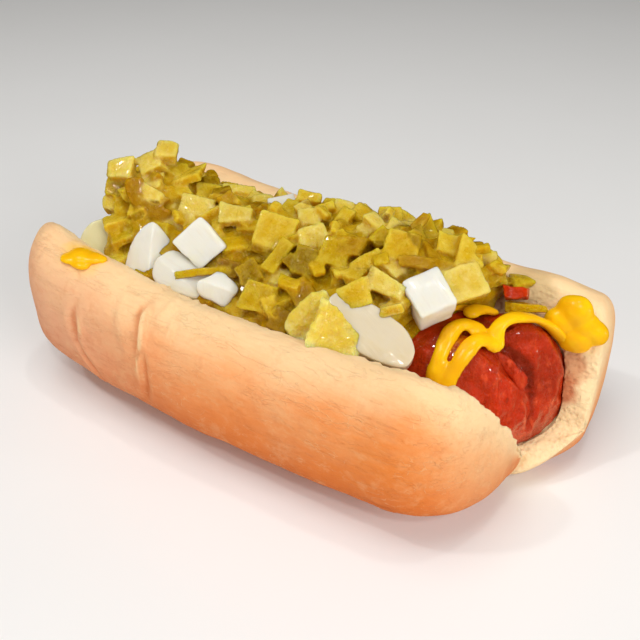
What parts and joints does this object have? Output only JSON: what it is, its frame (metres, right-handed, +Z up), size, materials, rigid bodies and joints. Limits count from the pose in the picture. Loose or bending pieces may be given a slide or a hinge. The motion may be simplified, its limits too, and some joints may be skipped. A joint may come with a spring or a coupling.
{
  "type": "hot dog",
  "caption": "Hot dog: a soft bun opened to a V around a frankfurter with a split, slanting cut end, mustard strokes, diced onion and a long heap of chopped pickle relish.",
  "frame": {"origin": "on the surface the bun rests on, under the middle of the bounding box", "axes": "+X along the bun towards the frankfurter's cut end, +Y across to the bun's further half, +Z up"},
  "size_m": [0.1466, 0.0824, 0.0609],
  "materials": {
    "bread": "soft baked bread, matte crust with pale crumb",
    "frankfurter": "glossy browned sausage skin with mustard strokes",
    "mustard": "wet, smooth",
    "relish": "wet, translucent chopped pickle",
    "pickle": "wet, translucent",
    "pickle_skin": "wet, translucent",
    "red_pepper": "wet",
    "onion": "wet, translucent white"
  },
  "bodies": {
    "root": {"bun": "bread", "sausage": "frankfurter", "mustard_blob": "mustard", "relish": "relish", "pickle_chunk_1": "pickle", "pickle_chunk_2": "pickle", "pickle_strip": "pickle_skin", "red_pepper": "red_pepper", "onion_1": "onion", "onion_2": "onion", "onion_3": "onion", "onion_4": "onion", "onion_5": "onion", "onion_6": "onion", "onion_7": "onion", "onion_8": "onion"}
  },
  "joints": []
}
